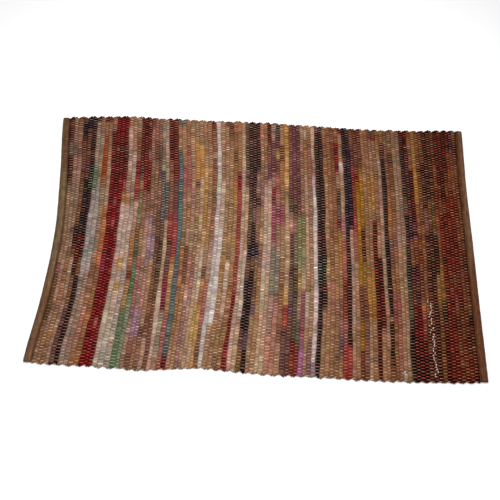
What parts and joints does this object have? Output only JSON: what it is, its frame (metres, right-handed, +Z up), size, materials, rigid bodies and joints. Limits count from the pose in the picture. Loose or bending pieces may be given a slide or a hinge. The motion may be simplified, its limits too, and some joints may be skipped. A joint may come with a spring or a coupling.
{
  "type": "dhurrie rag rug",
  "caption": "Flat hand-loomed cotton rag rug with cross stripes, uneven selvedges and a narrow turned hem at each short end.",
  "frame": {"origin": "middle of the rug's footprint, on the surface it lies on", "axes": "+X along the warp, the rug's length; +Y along the rag wefts, the width; +Z up out of the face"},
  "size_m": [0.916, 0.6078, 0.0074],
  "materials": {
    "cotton_rag": "matte woven cotton rag in many colours"
  },
  "bodies": {
    "root": {"dhurrie_cloth": "cotton_rag"}
  },
  "joints": []
}
